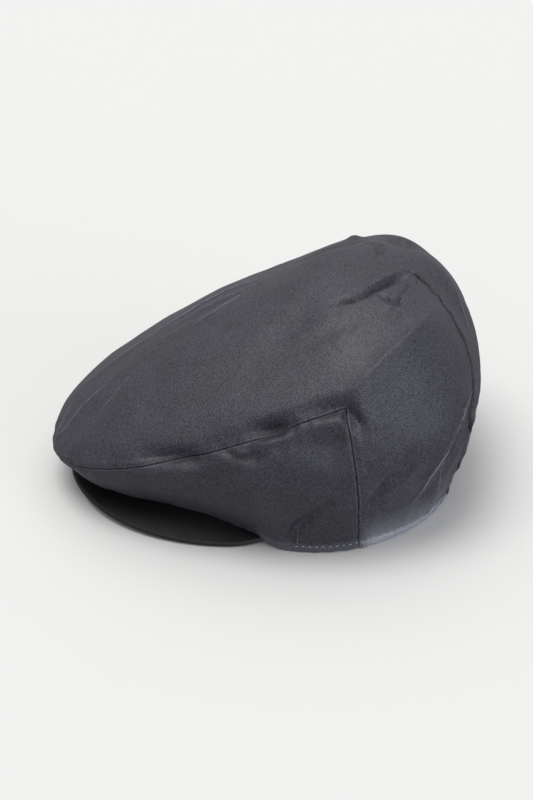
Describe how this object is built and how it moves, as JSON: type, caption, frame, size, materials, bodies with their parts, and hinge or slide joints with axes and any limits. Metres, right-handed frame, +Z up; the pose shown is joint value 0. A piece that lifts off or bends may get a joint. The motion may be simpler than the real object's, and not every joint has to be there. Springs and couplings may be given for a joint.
{
  "type": "waxed flat cap",
  "caption": "Waxed cotton flat cap with a one-piece top panel, wedge side panels and a stiff curved peak, hollow for the head.",
  "frame": {"origin": "on the floor under the middle of the cap's bounding box, with the hem down", "axes": "+Z up from the hem to the crown, -Y towards the front of the peak, +X towards the wearer's left"},
  "size_m": [0.206, 0.26, 0.1426],
  "materials": {
    "waxed_cotton_top": "waxed cotton, slate navy, satin with a fine mottle",
    "waxed_cotton_sides": "waxed cotton, slate navy, satin with a fine mottle",
    "peak_cloth": "waxed cotton stretched smooth over a stiff board, near black, satin"
  },
  "bodies": {
    "root": {"top_panel": "waxed_cotton_top", "side_panel_left": "waxed_cotton_sides", "side_panel_right": "waxed_cotton_sides", "peak": "peak_cloth"}
  },
  "joints": []
}
